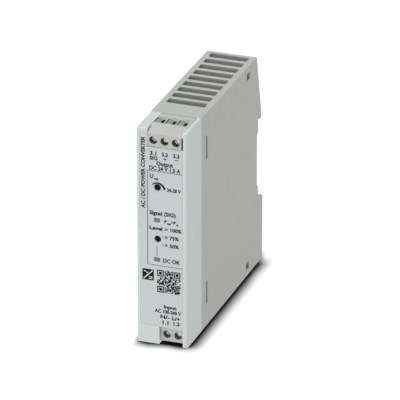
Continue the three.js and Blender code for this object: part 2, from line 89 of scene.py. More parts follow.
def rounded(points, radii, steps):
    """The outline with each corner turned into an arc. radii is one number, or one for each corner."""
    if not isinstance(radii, (list, tuple)):
        radii = [radii] * len(points)
    outline = []
    count = len(points)
    for i, (corner, radius) in enumerate(zip(points, radii)):
        here = Vector(corner)
        before = (Vector(points[i - 1]) - here).normalized()
        after = (Vector(points[(i + 1) % count]) - here).normalized()
        half_angle = before.angle(after) / 2
        if radius <= 0 or half_angle > math.radians(88):
            outline.append(tuple(here))
            continue
        reach = radius / math.tan(half_angle)
        centre = here + (before + after).normalized() * (radius / math.sin(half_angle))
        start = here + before * reach - centre
        end = here + after * reach - centre
        turn = start.angle_signed(end)
        for step in range(steps + 1):
            angle = -turn * step / steps
            arm = Matrix.Rotation(angle, 2) @ start
            outline.append(tuple(centre + arm))
    return outline


def circle(radius, centre, count=48):
    return [
        (
            centre[0] + radius * math.cos(2 * math.pi * i / count),
            centre[1] + radius * math.sin(2 * math.pi * i / count),
        )
        for i in range(count)
    ]


# ------------------------------------------------------------------ solids
PLANES = {
    "side": lambda a, b, c: (c, a, b),  # an outline in (y, z), extruded along x
    "front": lambda a, b, c: (a, c, b),  # an outline in (x, z), extruded along y
    "plan": lambda a, b, c: (a, b, c),  # an outline in (x, y), extruded along z
}


def prism(bm, outline, along, plane, far_outline=None):
    """Adds a closed prism to bm. Its far end may have an outline of its own."""
    place = PLANES[plane]
    near = [bm.verts.new(place(a, b, along[0])) for a, b in outline]
    far = [bm.verts.new(place(a, b, along[1])) for a, b in (far_outline or outline)]
    count = len(near)
    faces = [bm.faces.new(near), bm.faces.new(list(reversed(far)))]
    for i in range(count):
        j = (i + 1) % count
        faces.append(bm.faces.new((near[j], near[i], far[i], far[j])))
    bmesh.ops.recalc_face_normals(bm, faces=faces)


def box(bm, x, y, z):
    prism(bm, rectangle(x, y), z, "plan")


def lathe(bm, profile, centre=(0, 0, 0), count=48):
    """Adds a closed solid turned about a line along y.

    The profile is (radius, along) points from the axis back to the axis.
    """
    rings = []
    for radius, along in profile:
        ring = []
        for i in range(count if radius > 0 else 1):
            angle = 2 * math.pi * i / count
            point = (radius * math.cos(angle), along, radius * math.sin(angle))
            ring.append(bm.verts.new([p + c for p, c in zip(point, centre)]))
        rings.append(ring)
    faces = []
    for low, high in zip(rings, rings[1:]):
        for i in range(count):
            j = (i + 1) % count
            corners = [low[i % len(low)], low[j % len(low)], high[j % len(high)], high[i % len(high)]]
            unique = list(dict.fromkeys(corners))
            if len(unique) > 2:
                faces.append(bm.faces.new(unique))
    bmesh.ops.recalc_face_normals(bm, faces=faces)


def mesh_object(name, bm):
    mesh = bpy.data.meshes.new(name)
    bm.to_mesh(mesh)
    bm.free()
    obj = bpy.data.objects.new(name, mesh)
    SCENE.collection.objects.link(obj)
    return obj


def solid_of(name, draw):
    """A new object from a function that draws into a bmesh."""
    bm = bmesh.new()
    draw(bm)
    return mesh_object(name, bm)


def combine(obj, draw, operation):
    """Cuts the solids that draw makes out of obj, or joins them to it. They may touch each other."""
    tool = solid_of(obj.name + "_tool", draw)
    step = obj.modifiers.new("combine", "BOOLEAN")
    step.operation = operation
    step.solver = "EXACT"
    step.use_self = True
    step.object = tool
    apply_modifiers(obj)
    bpy.data.objects.remove(tool)


def cut(obj, draw):
    combine(obj, draw, "DIFFERENCE")


def join(obj, draw):
    combine(obj, draw, "UNION")


def apply_modifiers(obj):
    graph = bpy.context.evaluated_depsgraph_get()
    result = bpy.data.meshes.new_from_object(obj.evaluated_get(graph))
    obj.modifiers.clear()
    old = obj.data
    obj.data = result
    bpy.data.meshes.remove(old)


def soften(obj, width, segments):
    """Rounds the sharp edges and evens out the shading across them. Width is in metres."""
    for polygon in obj.data.polygons:
        polygon.use_smooth = True
    bevel = obj.modifiers.new("rounded_edges", "BEVEL")
    bevel.width = width
    bevel.segments = segments
    bevel.limit_method = "ANGLE"
    bevel.angle_limit = math.radians(32)
    bevel.use_clamp_overlap = True
    bevel.miter_outer = "MITER_ARC"
    normals = obj.modifiers.new("even_shading", "WEIGHTED_NORMAL")
    normals.keep_sharp = True
    normals.weight = 80


def finish_piece(obj, material, body=ROOT, replaces=(), edge=None, segments=2):
    """Moves a piece drawn in millimetres into the frame and gives it its finish, body and edges."""
    obj.data.transform(Matrix.Translation((0, FRONT, 0)) @ Matrix.Scale(MM, 4))
    obj.data.materials.clear()
    obj.data.materials.append(material)
    if edge:
        soften(obj, edge * MM, segments)
    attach(obj, body)
    if replaces:
        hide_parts(*replaces)
    return obj


# ------------------------------------------------------------------ materials
EVEN = (1, 1, 1)  # no stretch
# colour painted along edges as a highlight
EDGE_HIGHLIGHT_COLOUR = (0.93, 0.94, 0.93, 1.0)


def srgb(*levels):
    """Linear colour from 0-255 display levels."""
    linear = []
    for level in levels:
        value = level / 255
        linear.append(value / 12.92 if value <= 0.04045 else ((value + 0.055) / 1.055) ** 2.4)
    return (*linear, 1.0)


def shade(colour, factor):
    return (*[min(1.0, c * factor) for c in colour[:3]], 1.0)


class Shader:
    """A Principled material with short ways to add the nodes that most finishes here share."""

    def __init__(self, name, colour, roughness, metallic=0.0, specular=0.5):
        self.material = bpy.data.materials.new(name)
        self.material.use_nodes = True
        self.nodes = self.material.node_tree.nodes
        self.links = self.material.node_tree.links
        self.principled = self.nodes["Principled BSDF"]
        self.principled.inputs["Base Color"].default_value = colour
        self.principled.inputs["Roughness"].default_value = roughness
        self.principled.inputs["Metallic"].default_value = metallic
        self.principled.inputs["Specular IOR Level"].default_value = specular
        self.colour = colour
        self.place = self.nodes.new("ShaderNodeTexCoord").outputs["Object"]

    def noise(self, scale, detail, stretch=EVEN):
        mapping = self.nodes.new("ShaderNodeMapping")
        mapping.inputs["Scale"].default_value = stretch
        texture = self.nodes.new("ShaderNodeTexNoise")
        texture.inputs["Scale"].default_value = scale
        texture.inputs["Detail"].default_value = detail
        texture.inputs["Roughness"].default_value = 0.5
        self.links.new(self.place, mapping.inputs["Vector"])
        self.links.new(mapping.outputs["Vector"], texture.inputs["Vector"])
        return texture.outputs["Fac"]

    def ramp(self, source, low, high, start=0.3, end=0.7):
        """source mapped from start..end to low..high."""
        node = self.nodes.new("ShaderNodeMapRange")
        node.inputs["From Min"].default_value = start
        node.inputs["From Max"].default_value = end
        node.inputs["To Min"].default_value = low
        node.inputs["To Max"].default_value = high
        self.links.new(source, node.inputs["Value"])
        return node.outputs["Result"]

    def blend(self, factor, amount):
        """The colour, darker by amount where the factor is 0 and lighter by it where the factor is 1."""
        mix = self.nodes.new("ShaderNodeMix")
        mix.data_type = "RGBA"
        mix.inputs["A"].default_value = shade(self.colour, 1 - amount)
        mix.inputs["B"].default_value = shade(self.colour, 1 + amount)
        self.links.new(factor, mix.inputs["Factor"])
        self.links.new(mix.outputs["Result"], self.principled.inputs["Base Color"])

    def mottle(self, scale, amount, stretch=EVEN):
        """Slow, faint variation of the colour."""
        self.blend(self.ramp(self.noise(scale, 4.0, stretch), 0.0, 1.0), amount)

    def uneven_gloss(self, scale, low, high, stretch=EVEN):
        level = self.ramp(self.noise(scale, 3.0, stretch), low, high)
        self.links.new(level, self.principled.inputs["Roughness"])

    def painted_edge_highlight(self, lighten, radius=0.5):
        """Edges painted lighter as a highlight, found by how far a rounded normal leans away from the
        surface's own.
        """
        nearby = self.nodes.new("ShaderNodeBevel")
        nearby.samples = 6
        nearby.inputs["Radius"].default_value = radius * MM
        own = self.nodes.new("ShaderNodeNewGeometry")
        lean = self.nodes.new("ShaderNodeVectorMath")
        lean.operation = "DOT_PRODUCT"
        self.links.new(nearby.outputs["Normal"], lean.inputs[0])
        self.links.new(own.outputs["Normal"], lean.inputs[1])
        edge = self.ramp(lean.outputs["Value"], lighten, 0.0, 0.82, 0.99)
        socket = self.principled.inputs["Base Color"]
        mix = self.nodes.new("ShaderNodeMix")
        mix.data_type = "RGBA"
        self.links.new(socket.links[0].from_socket, mix.inputs["A"])
        mix.inputs["B"].default_value = EDGE_HIGHLIGHT_COLOUR
        self.links.new(edge, mix.inputs["Factor"])
        self.links.new(mix.outputs["Result"], socket)

    def grain(self, layers):
        """Fine relief. Each layer is (scale, strength, height in mm, stretch)."""
        previous = None
        for scale, strength, height, stretch in layers:
            bump = self.nodes.new("ShaderNodeBump")
            bump.inputs["Strength"].default_value = strength
            bump.inputs["Distance"].default_value = height * MM
            self.links.new(self.noise(scale, 2.0, stretch), bump.inputs["Height"])
            if previous:
                self.links.new(previous, bump.inputs["Normal"])
            previous = bump.outputs["Normal"]
        self.links.new(previous, self.principled.inputs["Normal"])


def moulded(name, colour, roughness=0.5, texture=0.5, amount=0.02, edge_highlight=0.12, edge_highlight_radius=0.5):
    """Moulded thermoplastic with a spark-eroded grain, slow flow marks and edges painted lighter as a
    highlight.
    """
    shader = Shader(name, colour, roughness)
    shader.mottle(90, amount)
    # edges painted lighter as a highlight
    if edge_highlight:
        shader.painted_edge_highlight(edge_highlight, edge_highlight_radius)
    shader.uneven_gloss(420, roughness - 0.05, roughness + 0.05)
    shader.grain([(4200, texture, 0.02, EVEN), (900, texture * 0.3, 0.03, EVEN)])
    return shader.material


def housing_plastic():
    """The housing's plastic, with faint darker lines at the pitch of the vents near its top and bottom,
    painted as the shade of sink marks.
    """
    shader = Shader("housing_plastic", srgb(178, 180, 177), 0.5)
    split = shader.nodes.new("ShaderNodeSeparateXYZ")
    shader.links.new(shader.place, split.inputs[0])

    def step(operation, a, b=0.0, c=0.0):
        node = shader.nodes.new("ShaderNodeMath")
        node.operation = operation
        for socket, value in zip(node.inputs, (a, b, c)):
            if isinstance(value, float):
                socket.default_value = value
            else:
                shader.links.new(value, socket)
        return node.outputs[0]

    sink_mark_shade, widest = 0.11, 0.1
    first = FRONT + (VENT_FIRST - VENT_PITCH / 2) * MM
    wave = step("MULTIPLY_ADD", split.outputs["Y"], 1 / (VENT_PITCH * MM), -first / (VENT_PITCH * MM))
    from_line = step("ABSOLUTE", step("SUBTRACT", step("FRACT", wave), 0.5))
    line = shader.ramp(from_line, 0.0, 1.0, 0.42, 0.5)
    middle = step("ABSOLUTE", step("SUBTRACT", split.outputs["Z"], HEIGHT / 2 * MM))
    ends = shader.ramp(middle, 0.0, 1.0, 33 * MM, 38 * MM)
    rear = shader.ramp(split.outputs["Y"], 1.0, 0.0, FRONT + 84 * MM, FRONT + 86 * MM)
    sides = shader.ramp(middle, 1.0, 0.0, (HEIGHT / 2 - 1.2) * MM, (HEIGHT / 2 - 0.4) * MM)
    # the sink marks are painted shade: darker lines in the colour, with no dent in the surface
    marks = step("MULTIPLY", step("MULTIPLY", line, ends), step("MULTIPLY", rear, sides))
    slow = shader.ramp(shader.noise(90, 4.0), -0.02, 0.02)
    level = step("MULTIPLY_ADD", marks, -sink_mark_shade, slow)
    shader.blend(shader.ramp(level, 0.0, 1.0, -widest, widest), widest)
    # edges painted lighter as a highlight
    shader.painted_edge_highlight(0.08)
    shader.uneven_gloss(420, 0.45, 0.55)
    shader.grain([(4200, 0.5, 0.02, EVEN), (900, 0.15, 0.03, EVEN)])
    return shader.material


def metal(name, colour, roughness, brushed=EVEN):
    shader = Shader(name, colour, roughness, metallic=1.0)
    shader.mottle(700, 0.06, brushed)
    # edges painted lighter as a highlight
    shader.painted_edge_highlight(0.25, 0.15)
    shader.uneven_gloss(1500, roughness - 0.08, roughness + 0.12, brushed)
    shader.grain([(3500, 0.25, 0.01, brushed)])
    return shader.material


def printed_ink(name, colour):
    shader = Shader(name, colour, 0.6, specular=0.12)
    shader.mottle(1500, 0.08)
    shader.grain([(6000, 0.2, 0.005, EVEN)])
    return shader.material


HOUSING_GREY = housing_plastic()
# the cover's edges get the strongest painted highlight
COVER_GREY = moulded("cover_plastic", srgb(201, 208, 205), 0.42, edge_highlight=0.5, edge_highlight_radius=0.9)
LABEL_FILM = moulded("label_film", srgb(197, 201, 203), 0.42, texture=0.25, amount=0.01, edge_highlight=0.0)
TERMINAL_GREY = moulded("terminal_plastic", srgb(182, 184, 181), 0.45)
ZINC = metal("zinc_steel", srgb(214, 214, 210), 0.24)
INK = printed_ink("label_ink", srgb(14, 15, 17))
LINE_INK = printed_ink("line_ink", srgb(84, 88, 89))
PAPER_INK = printed_ink("light_ink", srgb(224, 227, 226))
LATCH_GREY = moulded("latch_plastic", srgb(142, 145, 144), 0.5)
SPRING_STEEL = metal("spring_steel", srgb(150, 150, 152), 0.3)
LIGHT_PIPE = moulded("light_pipe_plastic", srgb(110, 113, 113), 0.3, texture=0.15, edge_highlight=0.0)


# ------------------------------------------------------------------ housing
RAIL_PLANE = 90.0
RECESS_TOP = 68.3
RECESS_BOTTOM = 33.2
RELIEF = (37.2, 62.35)
RELIEF_PLANE = 88.5
TOP_BACK = 87.8
HOOK = (93.9, 71.0)
FOOT_TIP = 30.3
GROOVE = (1.6, 69.4)
# Heights of what is mirrored to the top are those at the bottom.
SNAP_Y, SNAP_Z = (23.1, 24.7), (10.7, 20.9)
SNAP_SLOT_Y = (22.95, 25.05)
WINDOW_Y, WINDOW_Z = (74.8, 78.6), (3.0, 6.2)
LATCH_HALF, LATCH_Y, LATCH_Z = 6.0, (91.2, 94.0), (4.0, 35.3)
SPRING_FOOT = 14.05
SIDE_EDGE = 0.75  # rounding between the side faces and the rest


def housing_outline():
    points = [
        (COVER_DEPTH, 0), (DEPTH, 0), (DEPTH, FOOT_TIP), (RAIL_PLANE, RECESS_BOTTOM),
        (RAIL_PLANE, RELIEF[0]), (RELIEF_PLANE, RELIEF[0]), (RELIEF_PLANE, RELIEF[1]),
        (RAIL_PLANE, RELIEF[1]), (RAIL_PLANE, RECESS_TOP), (HOOK[0], RECESS_TOP), HOOK,
        (TOP_BACK, HEIGHT), (COVER_DEPTH, HEIGHT),
    ]
    radii = [0, 0.8, 0.5, 0.3, 0, 0, 0, 0, 0, 0.4, 0.6, 0.8, 0]
    return rounded(points, radii, 4)


def room_outline():
    back = RELIEF_PLANE - WALL
    floor_of_hook = GROOVE[1] + WALL
    slant = (HOOK[0] - TOP_BACK) / (HEIGHT - HOOK[1])
    inset = WALL * math.hypot(1, slant)

    def slanted(z):
        return HOOK[0] - inset - slant * (z - HOOK[1])

    return [
        (COVER_DEPTH - 1, END_WALL), (RAIL_PLANE - 0.6, END_WALL), (RAIL_PLANE - 0.6, RECESS_BOTTOM - WALL),
        (back, RECESS_BOTTOM - WALL), (back, floor_of_hook), (slanted(floor_of_hook), floor_of_hook),
        (slanted(HEIGHT - END_WALL), HEIGHT - END_WALL), (COVER_DEPTH - 1, HEIGHT - END_WALL),
    ]


def housing_body(bm):
    """The outer form, the long edges of its side faces rounded except at the foot."""
    prism(bm, housing_outline(), (-HALF, HALF), "side")
    corner_edges = []
    for edge in bm.edges:
        a, b = (v.co for v in edge.verts)
        flat_side = abs(a.x - b.x) < 1e-6
        front = max(a.y, b.y) < COVER_DEPTH + 0.01
        recess = min(a.y, b.y) > RELIEF_PLANE - 0.1 and 32 < (a.z + b.z) / 2 < 69.5
        foot = max(a.z, b.z) < 0.01
        if flat_side and not front and not recess and not foot:
            corner_edges.append(edge)
    bmesh.ops.bevel(
        bm, geom=corner_edges, offset=SIDE_EDGE, segments=4, profile=0.5, affect="EDGES", clamp_overlap=True
    )


def housing_hollows(bm):
    prism(bm, room_outline(), span(0, HALF - WALL), "side")


def housing_openings(bm):
    for i in range(VENT_COUNT):
        depths = span(VENT_FIRST + i * VENT_PITCH, VENT_WIDTH / 2)
        slot = rounded(rectangle(span(0, VENT_HALF), depths), 0.35, 3)
        prism(bm, slot, (-1, END_WALL + 0.5), "plan")
        prism(bm, slot, (HEIGHT - END_WALL - 0.5, HEIGHT + 1), "plan")
    for z in (SNAP_Z, mirrored(SNAP_Z)):
        for x in ((-HALF - 1, -HALF + WALL + 0.4), (HALF - WALL - 0.4, HALF + 1)):
            prism(bm, rounded(rectangle(SNAP_SLOT_Y, z), 0.25, 3), x, "side")
    for z in (WINDOW_Z, mirrored(WINDOW_Z)):
        prism(bm, rounded(rectangle(WINDOW_Y, z), 0.25, 3), (HALF - WALL - 0.4, HALF + 1), "side")


def rail_groove(bm):
    box(bm, span(0, HALF + 1), (RAIL_PLANE, RAIL_PLANE + GROOVE[0]), (RECESS_TOP - 1, GROOVE[1]))


def latch_channel(bm):
    slide = (LATCH_Y[0] - 0.15, LATCH_Y[1] + 0.15)
    box(bm, span(0, LATCH_HALF + 0.15), slide, (-1, 36))


def latch_window(bm):
    box(bm, span(0, LATCH_HALF - 1.2), (LATCH_Y[1], DEPTH + 1), (6, 36))


def spring_post(bm):
    box(bm, span(0, 1.6), (LATCH_Y[0] - 0.4, LATCH_Y[1]), (12, 14))


def build_housing():
    shell = solid_of("housing_shell", housing_body)
    for opening in (housing_hollows, housing_openings, rail_groove, latch_channel, latch_window):
        cut(shell, opening)
    join(shell, spring_post)
    finish_piece(shell, HOUSING_GREY, replaces=["main_housing"], edge=0.16)


# ------------------------------------------------------------------ front cover
LABEL = {"left": -9.9, "right": 9.2, "bottom": 8.5, "top": 90.7, "strip_right": -6.7, "strip_top": 96.9}
LABEL_DEPTH = 0.2
LABEL_THICKNESS = 0.15
CONTROL_X, CONTROL_HOLE = -2.0, 1.55
POTENTIOMETER_Z, SELECTOR_Z = 72.6, 48.9
LIGHT_X, LIGHT_SIZE = -2.3, (2.8, 1.9)
SIGNAL_Z, DC_OK_Z = 57.6, 39.4
TOP_NOTCH = 90.9
BOTTOM_NOTCH = 8.1


def label_outline(margin, radius):
    points = [
        (LABEL["left"] - margin, LABEL["bottom"] - margin),
        (LABEL["right"] + margin, LABEL["bottom"] - margin),
        (LABEL["right"] + margin, LABEL["top"] + margin),
        (LABEL["strip_right"] + margin, LABEL["top"] + margin),
        (LABEL["strip_right"] + margin, LABEL["strip_top"] + margin),
        (LABEL["left"] - margin, LABEL["strip_top"] + margin),
    ]
    return rounded(points, [radius, radius, radius, 0.2, radius, radius], 4)


def front_openings(bm, along, margin):
    for z in (POTENTIOMETER_Z, SELECTOR_Z):
        prism(bm, circle(CONTROL_HOLE + margin, (CONTROL_X, z)), along, "front")
    for z in (SIGNAL_Z, DC_OK_Z):
        window = rectangle(span(LIGHT_X, LIGHT_SIZE[0] / 2 + margin), span(z, LIGHT_SIZE[1] / 2 + margin))
        prism(bm, rounded(window, 0.12, 2), along, "front")


def cover_body(bm):
    plan = rounded(
        [(-HALF, COVER_DEPTH), (-HALF, 0), (HALF, 0), (HALF, COVER_DEPTH)], [0, 0.5, 0.9, 0], 6
    )
    prism(bm, plan, (0, HEIGHT), "plan")
    ends = [
        edge
        for edge in bm.edges
        if all(abs(v.co.z - HEIGHT) < 1e-6 for v in edge.verts)
        and min(v.co.y for v in edge.verts) < COVER_DEPTH - 0.01
    ]
    bmesh.ops.bevel(bm, geom=ends, offset=0.45, segments=3, profile=0.5, affect="EDGES", clamp_overlap=True)


def cover_hollow(bm):
    box(bm, (-HALF + WALL, HALF - RIGHT_WALL), (WALL, COVER_DEPTH + 1), (WALL, HEIGHT - WALL))


def cover_notches(bm):
    box(bm, (-6.5, HALF - 1.8), (-1, COVER_DEPTH + 1), (TOP_NOTCH, HEIGHT + 1))
    box(bm, (-1.5, HALF - RIGHT_WALL), (-1, COVER_DEPTH + 1), (-1, BOTTOM_NOTCH))


def label_pocket(bm):
    prism(bm, label_outline(0.15, 0.6), (-1, LABEL_DEPTH), "front")


def snap_tongues(bm):
    """Tongues behind the cover's edge. Each has a barb and, between the terminal blocks, a thicker root."""
    for side in (1, -1):
        for z in (SNAP_Z, mirrored(SNAP_Z)):
            tongue = (z[0] + 0.3, z[1] - 0.3)
            root = (max(tongue[0], 13.8), min(tongue[1], HEIGHT - 13.8))
            for x, y, levels in (
                ((8.3, 9.3), (COVER_DEPTH - 0.1, SNAP_Y[1] + 0.8), tongue),
                ((9.2, HALF - 1.25), (SNAP_Y[0] + 0.2, SNAP_Y[1] - 0.2), tongue),
                ((8.3, 9.8), (10, COVER_DEPTH), root),
                ((8.3, 9.3), (10, COVER_DEPTH + 0.3), root),
            ):
                box(bm, x if side > 0 else (-x[1], -x[0]), y, levels)


def build_cover():
    shell = solid_of("cover_shell", cover_body)
    cut(shell, cover_hollow)
    cut(shell, cover_notches)
    cut(shell, label_pocket)
    cut(shell, lambda bm: front_openings(bm, (-1, WALL + 1), 0.1))
    join(shell, snap_tongues)
    finish_piece(shell, COVER_GREY, replaces=["front_cover"], edge=0.14)


def build_label():
    sheet = solid_of(
        "label_sheet",
        lambda bm: prism(bm, label_outline(0, 0.5), (LABEL_DEPTH - LABEL_THICKNESS, LABEL_DEPTH), "front"),
    )
    cut(sheet, lambda bm: front_openings(bm, (-1, 1), 0))
    finish_piece(sheet, LABEL_FILM, replaces=["front_label"], edge=0.04, segments=1)


# ------------------------------------------------------------------ print on the label
INK_SPAN = (LABEL_DEPTH - LABEL_THICKNESS - 0.02, LABEL_DEPTH - LABEL_THICKNESS + 0.02)
INK_FRONT = INK_SPAN[0]
CAPITAL_SHARE = 0.72  # of the font's size
BOLDNESS = 0.09
CAP = 1.62  # height of the small capitals


def add_text(bm, text, ends, at, height, upright=False):
    """Adds a word as raised print that runs from one end to the other, its capitals that high.

    A level word runs along x at the height at, and an upright one along z at the width at.
    """
    curve = bpy.data.curves.new("print", "FONT")
    curve.body = text
    curve.size = height / CAPITAL_SHARE
    curve.extrude = (INK_SPAN[1] - INK_SPAN[0]) / 2
    curve.resolution_u = 3
    curve.offset = BOLDNESS
    words = bpy.data.objects.new("print", curve)
    SCENE.collection.objects.link(words)
    graph = bpy.context.evaluated_depsgraph_get()
    mesh = bpy.data.meshes.new_from_object(words.evaluated_get(graph))
    low = min(v.co.x for v in mesh.vertices)
    high = max(v.co.x for v in mesh.vertices)
    stretch = (ends[1] - ends[0]) / (high - low)
    for vertex in mesh.vertices:
        along = ends[0] + (vertex.co.x - low) * stretch
        across = vertex.co.y - height / 2
        depth = sum(INK_SPAN) / 2 - vertex.co.z
        vertex.co = (at - across, depth, along) if upright else (along, depth, at + across)
    bm.from_mesh(mesh)
    bpy.data.objects.remove(words)
    bpy.data.meshes.remove(mesh)


def stroke(bm, start, end, width, layer=INK_SPAN):
    """A straight printed line in (x, z)."""
    a, b = Vector(start), Vector(end)
    along = (b - a).normalized()
    side = Vector((-along.y, along.x)) * width / 2
    outline = [a - side, b - side, b + side, a + side]
    prism(bm, [tuple(p) for p in outline], layer, "front")


def label_words(bm):
    for ends, number in zip(((-5.3, -2.4), (-0.1, 2.8), (4.9, 7.8)), ("3.1", "3.2", "3.3")):
        add_text(bm, number, ends, 88.1, 1.75)
    add_text(bm, "SIG", (-5.4, -1.9), 85.9, 1.7)
    stroke(bm, (0.65, 86.0), (2.1, 86.0), 0.32)
    stroke(bm, (1.37, 85.3), (1.37, 86.7), 0.32)
    stroke(bm, (5.6, 86.2), (7.2, 86.2), 0.32)
    add_text(bm, "Output", (-2.5, 5.0), 83.7, 1.9)
    add_text(bm, "DC 24 V 1.5 A", (-5.6, 8.2), 81.4, 1.85)
    add_text(bm, "U", (-5.4, -3.8), 77.7, 2.0)
    add_text(bm, "out", (-3.5, -1.7), 76.6, 1.0)
    add_text(bm, "24-28 V", (2.2, 8.4), 72.2, 1.6)
    add_text(bm, "Signal (SIG)", (-5.6, 6.1), 60.9, 1.75)
    add_text(bm, "P", (1.0, 2.1), 57.5, 1.3)
    add_text(bm, "out", (2.2, 3.9), 56.7, 0.8)
    add_text(bm, ">", (4.1, 5.0), 57.5, 1.3)
    add_text(bm, "P", (5.1, 6.2), 57.5, 1.3)
    add_text(bm, "n", (6.3, 7.2), 56.7, 0.9)
    add_text(bm, "Level", (-5.6, 0.2), 53.9, CAP)
    for z, share, end in ((53.9, "> 100%", 8.6), (50.2, "> 75%", 7.4), (46.5, "> 50%", 7.4)):
        add_text(bm, share, (1.2, end), z, CAP)
    add_text(bm, "DC OK", (0.3, 8.1), 39.4, 1.8)
    add_text(bm, "Input", (0.6, 6.4), 17.9, 1.6)
    add_text(bm, "AC 100-240 V", (-3.4, 8.4), 15.6, 1.6)
    add_text(bm, "N/-", (-0.9, 3.3), 13.1, CAP)
    add_text(bm, "L/+", (4.3, 7.9), 13.0, CAP)
    add_text(bm, "1.1", (0.0, 2.75), 10.5, 1.65)
    add_text(bm, "1.2", (4.95, 7.8), 10.6, 1.65)
    add_text(bm, "AC / DC POWER CONVERTER", (62.3, 95.0), -8.45, 1.7, upright=True)


def adjustment_arc(bm):
    """A wedge over the potentiometer's hole that thickens clockwise, its centre below the hole's."""
    radius, centre_z, steps = 3.25, POTENTIOMETER_Z - 1.2, 36
    inner, outer = [], []
    for i in range(steps + 1):
        share = i / steps
        angle = math.radians(136 - 124 * share)
        half = 0.17 + 0.34 * share ** 0.6
        for ring, reach in ((inner, radius - half), (outer, radius + half)):
            ring.append((CONTROL_X + reach * math.cos(angle), centre_z + reach * math.sin(angle)))
    prism(bm, inner + list(reversed(outer)), INK_SPAN, "front")


def data_matrix(bm):
    """A made-up field of square modules that carries no data."""
    modules, left, bottom, size = 25, -2.25, 24.35, 10.35
    cell = size / modules
    spread = 0.045  # of the ink around each module
    density = 0.56
    filled = [[RNG.random() < density for _ in range(modules)] for _ in range(modules)]
    for corner_x, corner_z in ((0, 0), (0, modules - 7), (modules - 7, modules - 7)):
        for i in range(-1, 8):
            for j in range(-1, 8):
                x, z = corner_x + i, corner_z + j
                if not (0 <= x < modules and 0 <= z < modules):
                    continue
                ring = max(abs(i - 3), abs(j - 3))
                filled[z][x] = ring in (0, 1, 3)
    for row in range(modules):
        column = 0
        while column < modules:
            if not filled[row][column]:
                column += 1
                continue
            start = column
            while column < modules and filled[row][column]:
                column += 1
            x = (left + start * cell - spread, left + column * cell + spread)
            z = (bottom + row * cell - spread, bottom + (row + 1) * cell + spread)
            prism(bm, rectangle(x, z), INK_SPAN, "front")


def frame_lines(bm):
    stroke(bm, (-6.5, 79.95), (9.0, 79.95), 0.26)
    stroke(bm, (-6.5, 36.7), (9.0, 36.7), 0.26)
    stroke(bm, (-6.5, 36.7), (-6.5, 79.95), 0.3)
    stroke(bm, (LIGHT_X, 45.6), (LIGHT_X, 41.0), 0.3)
    stroke(bm, (LIGHT_X, 51.9), (LIGHT_X, 51.1), 0.3)
    for z in (50.2, 46.5):
        stroke(bm, (-0.1, z), (0.7, z), 0.3)


SYMBOL = {"x": (-8.9, -3.8), "z": (29.3, 34.4)}


def converter_symbol_field(bm):
    prism(bm, rounded(rectangle(SYMBOL["x"], SYMBOL["z"]), 0.25, 3), INK_SPAN, "front")


def converter_symbol_glyphs(bm):
    """The general symbol of a rectifier: a diagonal, with a wave at one side and two bars at the other."""
    (x0, x1), (z0, z1) = SYMBOL["x"], SYMBOL["z"]
    over = (INK_FRONT - 0.012, INK_FRONT + 0.01)
    inset = 0.55
    stroke(bm, (x0 + inset, z0 + inset), (x1 - inset, z1 - inset), 0.42, over)
    for step in (0, 0.75):
        stroke(bm, (x1 - 2.2, z0 + 0.8 + step), (x1 - 0.6, z0 + 0.8 + step), 0.36, over)
    wave, steps = [], 14
    for i in range(steps + 1):
        share = i / steps
        wave.append((x0 + 0.7 + 1.9 * share, z1 - 1.35 + 0.42 * math.sin(2 * math.pi * share)))
    lower = [(x, z - 0.2) for x, z in wave]
    upper = [(x, z + 0.2) for x, z in reversed(wave)]
    prism(bm, lower + upper, over, "front")


def build_print():
    for name, draw, material in (
        ("label_words", label_words, INK),
        ("adjustment_arc", adjustment_arc, INK),
        ("data_matrix", data_matrix, INK),
        ("frame_lines", frame_lines, LINE_INK),
        ("converter_symbol_field", converter_symbol_field, INK),
        ("converter_symbol_glyphs", converter_symbol_glyphs, PAPER_INK),
    ):
        finish_piece(solid_of(name, draw), material)


# ------------------------------------------------------------------ terminals
BLOCK_BACK, BLOCK_HEIGHT = 17.0, 13.5
# Slots are the angles at which the screws were left, in degrees. The lower block lies deeper in the
# cover (recess) and closer to its outer face (drop) than the upper one.
TERMINALS = {
    "output": {
        "poles": (-3.85, 1.15, 6.15),
        "slots": (48, 68, 50),
        "x": (-6.4, 9.1),
        "top": True,
        "recess": 0.0,
        "drop": 0.0,
        "screw_z": 93.9,
    },
    "input": {
        "poles": (1.45, 6.45),
        "slots": (50, 28),
        "x": (-1.4, 8.9),
        "top": False,
        "recess": 1.6,
        "drop": 0.85,
        "screw_z": 4.25,
    },
}
SCREW_HOLE = 1.8
SCREW_CHAMBER = 2.3
# Plan of a wire entry about its pole: its mouth, its shaft and the slit for a test probe beside it.
MOUTH_X, MOUTH_Y = (-1.75, 1.95), (7.3, 14.0)
SHAFT_X, SHAFT_Y = (-0.75, 1.6), (8.4, 13.3)
SLIT_X, SLIT_Y = (-2.6, -1.85), (7.5, 12.9)


def terminal_heights(terminal, z):
    """Heights above the bottom face of a lower block, mirrored for an upper one."""
    return HEIGHT - z if terminal["top"] else z


def block_outline(terminal):
    """Side view of a block. The upper one is stepped back where the cover's front wall passes it."""
    front = 0.05 + terminal["recess"]
    outline = [
        (front, 2.0 - terminal["drop"]), (6.4, 0.05), (BLOCK_BACK, 0.05), (BLOCK_BACK, BLOCK_HEIGHT),
    ]
    if terminal["top"]:
        outline += [(1.9, BLOCK_HEIGHT), (1.9, 7.9), (front, 7.9)]
    else:
        outline.append((front, BLOCK_HEIGHT))
    return [(y, terminal_heights(terminal, z)) for y, z in outline]


def about(pole, ends):
    return (pole + ends[0], pole + ends[1])


